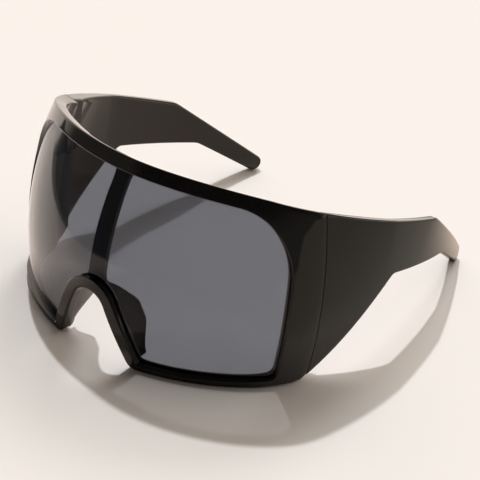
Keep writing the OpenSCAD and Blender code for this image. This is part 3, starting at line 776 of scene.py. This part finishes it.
class TempleShape:
    """Edges and thickness of a temple at a length from its seam."""
    # Half a bend of an edge as a share of the temple's length, and shares of the root's length
    BEND_SHARE, MITRE_SHARE, STEP_SHARE, NECK_SHARES = 0.015, 0.4, 0.06, (1.15, 1.4)
    # Places of the first columns, and how many tip radii the last straight column keeps from the tip
    SEAM_PLACES, TIP_ROOM = (0.12 * MM, 0.3 * MM), 3
    BLADE_STEPS, TIP_STEPS = 120, 14

    def __init__(self, wrap):
        self.wrap = wrap
        front, temple = wrap.front, wrap.temple
        self.soft = self.BEND_SHARE * temple.temple_l
        self.tip_l, self.tip_h = temple.temple_l - temple.tip_cut_l, temple.tip_top_h - temple.tip_cut_h
        self.upper = (temple.ear_bend_h - front.hinge_top_h) / temple.ear_bend_l
        self.upper_tip = (temple.tip_top_h - temple.ear_bend_h) / (temple.temple_l - temple.ear_bend_l)
        self.wedge = (temple.wedge_h + temple.root_low_h) / temple.wedge_l
        self.lower = (temple.low_bend_h - temple.wedge_h) / (temple.low_bend_l - temple.wedge_l)
        self.lower_tip = (self.tip_h - temple.low_bend_h) / (self.tip_l - temple.low_bend_l)
        self.mitre, self.step_l = self.MITRE_SHARE * temple.root_l, self.STEP_SHARE * temple.root_l
        self.knots = [(0, temple.root_face_t), (self.mitre, temple.root_t),
                      (temple.root_l - self.step_l, temple.root_t), (temple.root_l, temple.neck_t),
                      (temple.blade_start_l, temple.blade_t), (temple.temple_l, temple.blade_t)]

    def bend(self, past):
        """Length over which an edge's new slope has told, at a length past the middle of a soft bend."""
        if past <= -self.soft:
            return 0
        return past if past >= self.soft else (past + self.soft) ** 2 / (4 * self.soft)

    def top(self, run):
        past = self.bend(run - self.wrap.temple.ear_bend_l)
        return self.wrap.front.hinge_top_h + self.upper * run + (self.upper_tip - self.upper) * past

    def low(self, run):
        temple = self.wrap.temple
        return (-temple.root_low_h + self.wedge * run
                + (self.lower - self.wedge) * self.bend(run - temple.wedge_l)
                + (self.lower_tip - self.lower) * self.bend(run - temple.low_bend_l))

    def thickness(self, run, height):
        """Thickness of the moulding, kept within what can swing past the knuckles."""
        temple = self.wrap.temple
        bulge = self.wrap.bulge(self.wrap.front.half_l + run)
        room = temple.axis_depth - temple.swing_gap - bulge * height * height / 2
        most = room * sqrt(1 + (bulge * height) ** 2)
        for (start, start_t), (end, end_t) in zip(self.knots, self.knots[1:]):
            if run <= end:
                return min(mix(start_t, end_t, (run - start) / (end - start)), most)
        return min(temple.blade_t, most)

    def columns(self):
        """Pairs of a low and a high point from the seam, over the root and the blade, round the cut tip."""
        temple = self.wrap.temple
        step = temple.root_l - self.step_l
        root = [0, *self.SEAM_PLACES, self.mitre / 2, self.mitre, (self.mitre + step) / 2, step,
                temple.root_l - self.step_l / 2, temple.root_l]
        root += [temple.root_l * share for share in self.NECK_SHARES]
        end = self.tip_l - self.TIP_ROOM * temple.tip_r
        runs = root + [mix(root[-1], end, i / self.BLADE_STEPS) for i in range(1, self.BLADE_STEPS + 1)]
        cut = Vector((temple.tip_cut_l, temple.tip_cut_h))
        tip_high = rounded(Vector((temple.temple_l, temple.tip_top_h)), Vector((1, self.upper_tip)), -cut,
                           temple.tip_r, self.TIP_STEPS)
        tip_low = rounded(Vector((self.tip_l, self.tip_h)), Vector((1, self.lower_tip)), cut,
                          temple.tip_r, self.TIP_STEPS)
        blade = [(Vector((run, self.low(run))), Vector((run, self.top(run)))) for run in runs]
        return blade + list(zip(tip_low, tip_high))


class BuildTemples(bpy.types.Operator):
    """Builds both wedge-shaped temples with their thick roots and cut tips"""
    bl_idname = "shield.build_temples"
    bl_label = "Temples"

    FACE_STEPS = 26
    END_ROUND = 0.25 * MM

    def execute(self, context):
        wrap, look = settings()
        left = self.temple(wrap)
        for cutter in hinge_room(wrap, 1, False):
            carve(left, cutter)
        bm = bmesh.new()
        bm.from_mesh(left.data)
        flip(bm)
        right = finished("right_temple_moulding", bm)
        for piece, body, node in ((left, "left_arm", "left_temple"), (right, "right_arm", "right_temple")):
            dress(piece, "Gloss moulding", moulded_gloss, look)
            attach(piece, body)
            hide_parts(node)
        return {'FINISHED'}

    @classmethod
    def temple(cls, wrap):
        """The left temple: a rounded section at each column, whose faces follow the wrap."""
        shape, r = TempleShape(wrap), wrap.temple.edge_r
        start = wrap.front.half_l + wrap.temple.seam_gap
        shares = [k / cls.FACE_STEPS for k in range(cls.FACE_STEPS + 1)]

        def section(low, high):
            """Points of the outline, each with its share of the thickness and its depth past that."""
            up = r * (high - low).normalized()
            first, last = low + up, high - up
            points = [(first + (last - first) * share, 0, 0) for share in shares]
            points += [(last + up * sine, 0, r - r * cosine) for cosine, sine in EDGE_ARC[1:]]
            points += [(last + up * cosine, 1, r * sine - r) for cosine, sine in EDGE_ARC[:-1]]
            points += [(first + (last - first) * share, 1, 0) for share in reversed(shares)]
            points += [(first - up * sine, 1, r * cosine - r) for cosine, sine in EDGE_ARC[1:]]
            points += [(first - up * cosine, 0, r - r * sine) for cosine, sine in EDGE_ARC[:-1]]
            return points
        sections = [section(low, high) for low, high in shape.columns()]
        rows = len(sections[0])

        def place(column, row):
            at, share, past = sections[column][row % rows]
            return wrap.at(start + at.x, at.y, mix(0, shape.thickness(at.x, at.y), share) + past)
        return bent_sheet("left_temple_moulding", len(sections) - 1, rows, place,
                          end_round=cls.END_ROUND)


class FinishHinges(bpy.types.Operator):
    """Gives the hinge leaves, screws and rivets their metal"""
    bl_idname = "shield.finish_hinges"
    bl_label = "Hinge metal"

    METAL_NODES = 10

    def execute(self, context):
        metal = [node for name, node in frame["nodes"].items()
                 if name.endswith(("_leaf", "_screw", "_rivets"))]
        if len(metal) != self.METAL_NODES:
            raise RuntimeError("The frame should hold ten hinge nodes, not %d" % len(metal))
        for node in metal:
            dress(node, "Hinge steel", hinge_steel, context.scene.shield_finishes)
        return {'FINISHED'}


class BuildStage(bpy.types.Operator):
    """Lays the pale floor and backdrop, and sets the lamps, the sky and the camera"""
    bl_idname = "shield.build_stage"
    bl_label = "Stage"

    # Places and lengths are in metres, lamp angles in degrees, and the camera's lens in millimetres
    FLOOR_HALF_W, LAMP_AWAY = 4.0, 1.2
    KEY_WAY, KEY_ANGLE, KEY_TONE = Vector((-0.397, 0.372, 0.839)), 2.0, (1.0, 1.0, 1.0)
    PANEL_WAY, PANEL_ANGLE, PANEL_TONE = Vector((-0.26, 0.67, 0.69)), 19.0, (1.0, 0.98, 0.96)
    BRIGHT_WAY, SKY_TONE = Vector((-0.26, 0.966, 0.0)), (1.0, 0.88, 0.76)
    # The camera was fitted to the outlines in the photograph
    CAMERA_PLACE = Vector((0.516297, -0.622678, 0.479973))
    CAMERA_ACROSS = Vector((0.752845, 0.656190, 0.051371))
    CAMERA_UP = Vector((-0.359704, 0.344812, 0.867016))
    CAMERA_LENS, CAMERA_SENSOR, CAMERA_FAR = 169.918, 36.0, 20.0
    # Where the painted reflection tones of the floor start to change in gloss, and where they have changed
    ACROSS_X, LEFT_X, RIGHT_X = (-0.4, 0.4), (-0.08, -0.05), (0.06, 0.1)
    NEAR_Y, PATCH_Y, PATCH_LEFT_X, PATCH_RIGHT_X = (-0.17, -0.12), (0.07, 0.11), (0.03, 0.05), (0.06, 0.09)
    # The edge where the floor ends in gloss and the dim painted reflection glow begins: how far forward it
    # reaches, where it is soft, and its line as pairs of shares, the first of the way across and the second
    # of the way back
    EDGE_DEPTH, EDGE_SOFT_Y = 0.3, (-0.02, 0.01)
    EDGE_SHARES = ((0.0, 0.9), (0.27, 0.42), (0.42, 0.02), (0.5, 0.02), (0.73, 0.5), (1.0, 0.8))

    def execute(self, context):
        look = context.scene.shield_finishes
        self.floor(look)
        self.sky(context.scene, look)
        self.lamp("Key lamp", self.KEY_WAY, self.KEY_ANGLE, look.key_power, self.KEY_TONE)
        self.lamp("Soft panel", self.PANEL_WAY, self.PANEL_ANGLE, look.panel_power, self.PANEL_TONE)
        self.camera(context.scene)
        return {'FINISHED'}

    @classmethod
    def floor(cls, look):
        """A matt pale floor, painted cooler where it is seen through the lens. Gloss sees painted reflection
        tones on it up to an edge, and a dim painted glow before the edge.
        """
        bm = bmesh.new()
        bmesh.ops.create_grid(bm, x_segments=2, y_segments=2, size=cls.FLOOR_HALF_W)
        piece = finished("pale_floor", bm)
        p = Paint(bpy.data.materials.new("Pale floor"))
        place = p.place()
        x, y = p.part(place, "X"), p.part(place, "Y")
        cloud = p.blend(p.noise(3.0, 2.0, 0.5), toned(look.floor), toned(look.floor, (1.0, 0.994, 0.985)))
        # Painted tint: the floor is painted cooler where it is seen through the lens, standing in for light
        # that the tint filters
        through_lens = p.spread(p.ray("Transparent Depth"), 0.0, 1.0)
        direct = p.blend(through_lens, cloud, toned(look.floor, (0.83, 0.88, 1.03)))
        across = p.spread(x, *cls.ACROSS_X)
        painted_reflection_tones = cls.painted_reflection_tones(p, x, y, across)
        mirror = p.ray("Is Glossy Ray")
        lit = p.add('ShaderNodeBsdfDiffuse', {"Color": p.blend(mirror, direct, painted_reflection_tones)})

        # Before the edge, gloss sees a painted reflection: the floor glows in the dim room tone in place of
        # its own colour
        line = p.ramp(across, [(spot, (share,) * 3) for spot, share in cls.EDGE_SHARES])
        edge = p.spread(line, 0.0, 1.0, -cls.EDGE_DEPTH, 0.0)
        past_edge = p.spread(y - edge, *cls.EDGE_SOFT_Y)
        painted_reflection_colour = p.blend(past_edge, toned(look.floor, (look.room,) * 3), painted_reflection_tones)
        painted_reflection_glow = p.add('ShaderNodeEmission', {"Color": painted_reflection_colour, "Strength": 1.0})

        # Past it, gloss sees real shadows on the middle of the floor only; at the sides the painted glow
        # stands in, without shadows
        sides = p.spread(x, *cls.RIGHT_X) + p.spread(x, *cls.LEFT_X, 1.0, 0.0)
        painted_reflection_share = mirror * (1.0 - past_edge * (1.0 - sides))
        surface = p.add('ShaderNodeMixShader', {0: painted_reflection_share, 1: lit, 2: painted_reflection_glow})
        p.add('ShaderNodeOutputMaterial', {"Surface": surface})
        piece.data.materials.append(p.owner)

    @classmethod
    def painted_reflection_tones(cls, p, x, y, across):
        """Painted reflection tones that gloss sees on the floor: bright on the -X side, dim from the middle
        on and near the camera, with a painted bright reflection patch behind the tip on the +X side."""
        bright, dim, olive = (1.0, 0.87, 0.79), (0.36, 0.32, 0.29), (0.25, 0.222, 0.178)
        black, warm = (0.0, 0.0, 0.0), (1.0, 0.85, 0.72)
        # Painted reflection: bright on the -X side, with painted shade from the middle on
        tones = p.ramp(across, [(0.4, bright), (0.45, dim), (0.58, dim), (0.65, olive)])
        near = p.spread(y, *cls.NEAR_Y, 0.5, 0.0)
        # A painted bright reflection patch behind the tip on the +X side
        painted_reflection_patch = (p.spread(y, *cls.PATCH_Y) * p.spread(x, *cls.PATCH_LEFT_X)
                 * p.spread(x, *cls.PATCH_RIGHT_X, 1.0, 0.0))
        return p.blend(painted_reflection_patch, p.blend(near, tones, toned(black)), toned(warm))

    @classmethod
    def sky(cls, scene, look):
        """A studio that is bright on the far side and dim on the camera's. In gloss it is also dim higher
        up, but for the far left, and dark overhead."""
        world = scene.world or bpy.data.worlds.new("Sky")
        scene.world = world
        p = Paint(world)
        way = p.add('ShaderNodeTexCoord', out="Generated")
        aim = p.add('ShaderNodeVectorMath', {0: way, 1: cls.BRIGHT_WAY}, out="Value",
                    operation='DOT_PRODUCT')
        across, height = p.part(way, "X"), p.part(way, "Z")
        mirror = p.ray("Is Glossy Ray")
        roof = p.spread(height, 0.45, 0.75, 0.0, 0.9)
        upper = p.spread(height, 0.1, 0.3) * p.spread(across, -0.52, -0.4, 0.0, 0.85)
        bright = p.spread(aim, 0.05, 0.45, look.room, look.sky)
        power = bright * (1.0 - mirror * roof) * (1.0 - mirror * upper)
        plain = p.add('ShaderNodeBackground', {"Color": toned(look.floor), "Strength": 1.0})
        studio = p.add('ShaderNodeBackground', {"Color": toned(cls.SKY_TONE), "Strength": power})
        seen = p.add('ShaderNodeMixShader', {0: p.ray("Is Camera Ray"), 1: studio, 2: plain})
        p.add('ShaderNodeOutputWorld', {"Surface": seen})

    @classmethod
    def lamp(cls, name, way, angle, power, tone):
        """A far lamp that shines from a direction and covers an angle in degrees. Gloss doesn't show it."""
        data = bpy.data.lights.new(name, 'SUN')
        data.energy, data.color, data.angle = power, tone, radians(angle)
        lamp = bpy.data.objects.new(name, data)
        lamp.location = cls.LAMP_AWAY * way.normalized()
        lamp.rotation_euler = way.to_track_quat('Z', 'Y').to_euler()
        lamp.visible_glossy = False
        bpy.context.scene.collection.objects.link(lamp)

    @classmethod
    def camera(cls, scene):
        data = bpy.data.cameras.new("Camera")
        data.lens, data.sensor_width, data.clip_end = cls.CAMERA_LENS, cls.CAMERA_SENSOR, cls.CAMERA_FAR
        camera = bpy.data.objects.new("Camera", data)
        across, up = cls.CAMERA_ACROSS, cls.CAMERA_UP
        turn = Matrix((across, up, across.cross(up))).transposed()
        camera.matrix_world = Matrix.Translation(cls.CAMERA_PLACE) @ turn.to_4x4()
        scene.collection.objects.link(camera)
        scene.camera = camera
        scene.view_settings.view_transform = 'Standard'


PIECES = (BuildFront, BuildLens, BuildTemples, FinishHinges, BuildStage)


class ShieldPanel(bpy.types.Panel):
    """Lists the sunglasses' pieces and their sizes"""
    bl_idname = "VIEW3D_PT_shield_sunglasses"
    bl_label = "Shield sunglasses"
    bl_space_type = 'VIEW_3D'
    bl_region_type = 'UI'
    bl_category = "Sunglasses"

    def draw(self, context):
        scene = context.scene
        for piece in PIECES:
            self.layout.operator(piece.bl_idname)
        for key, group in GROUPS.items():
            box = self.layout.box()
            for size in group.__annotations__:
                box.prop(getattr(scene, key), size)


GROUPS = {"shield_front": FrontSizes, "shield_temples": TempleSizes, "shield_finishes": Finishes}
CLASSES = (*GROUPS.values(), *PIECES, ShieldPanel)


def register():
    for kind in CLASSES:
        bpy.utils.register_class(kind)
    for key, group in GROUPS.items():
        setattr(bpy.types.Scene, key, bpy.props.PointerProperty(type=group))


def unregister():
    for key in GROUPS:
        delattr(bpy.types.Scene, key)
    for kind in reversed(CLASSES):
        bpy.utils.unregister_class(kind)


def main():
    register()
    bpy.ops.shield.build_front()
    bpy.ops.shield.build_lens()
    bpy.ops.shield.build_temples()
    bpy.ops.shield.finish_hinges()
    bpy.ops.shield.build_stage()


if __name__ == "__main__":
    main()
